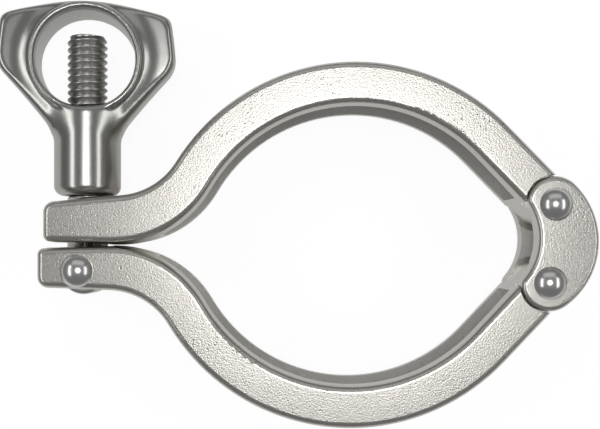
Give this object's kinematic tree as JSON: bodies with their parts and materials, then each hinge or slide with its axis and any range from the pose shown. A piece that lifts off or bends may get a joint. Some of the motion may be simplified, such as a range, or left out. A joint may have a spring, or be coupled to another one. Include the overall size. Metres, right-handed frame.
{
  "type": "sanitary hinged clamp",
  "caption": "Double-pin hinged ferrule clamp in cast stainless steel: two grooved arms on a curved link, closed by a swing bolt and a ring wing nut.",
  "frame": {"origin": "centre of the clamp's ring, half way through its thickness, between the two arms", "axes": "+X from the bolt towards the hinge link, +Y from the lower arm towards the upper arm and along the bolt to the nut, +Z out of the face that the picture shows, along the tube line"},
  "size_m": [0.1177, 0.0837, 0.0236],
  "materials": {
    "cast_steel": "blasted and tumbled investment casting",
    "polished_steel": "polished rivet head",
    "bolt_steel": "as rolled thread",
    "satin_steel": "satin polished investment casting"
  },
  "bodies": {
    "lower_arm": {"lower_arm": "cast_steel", "ear_rivet": "polished_steel"},
    "link": {"link": "cast_steel", "link_rivet_upper": "polished_steel", "link_rivet_lower": "polished_steel"},
    "upper_arm": {"upper_arm": "cast_steel"},
    "bolt": {"swing_bolt": "bolt_steel"},
    "nut": {"wing_nut": "satin_steel"}
  },
  "joints": [
    {"name": "link_swing", "type": "hinge", "parent": "lower_arm", "child": "link", "pos_m": [0.0367, -0.0073, 0], "axis": [0, 0, -1], "range_deg": [0, 8.5]},
    {"name": "arm_swing", "type": "hinge", "parent": "link", "child": "upper_arm", "pos_m": [0.0378, 0.0077, 0], "axis": [0, 0, -1], "range_deg": [0, 8.5]},
    {"name": "bolt_swing", "type": "hinge", "parent": "lower_arm", "child": "bolt", "pos_m": [-0.0536, -0.005, 0], "axis": [0, 0, 1], "range_deg": [0, 180]},
    {"name": "nut_travel", "type": "slide", "parent": "bolt", "child": "nut", "axis": [0, 1, 0], "range_m": [0, 0.0275]}
  ],
  "couplings": [
    {"joint": "arm_swing", "follows": "link_swing", "ratio": 1},
    {"joint": "nut_travel", "follows": "link_swing", "m_per_rad": 0.1825}
  ]
}
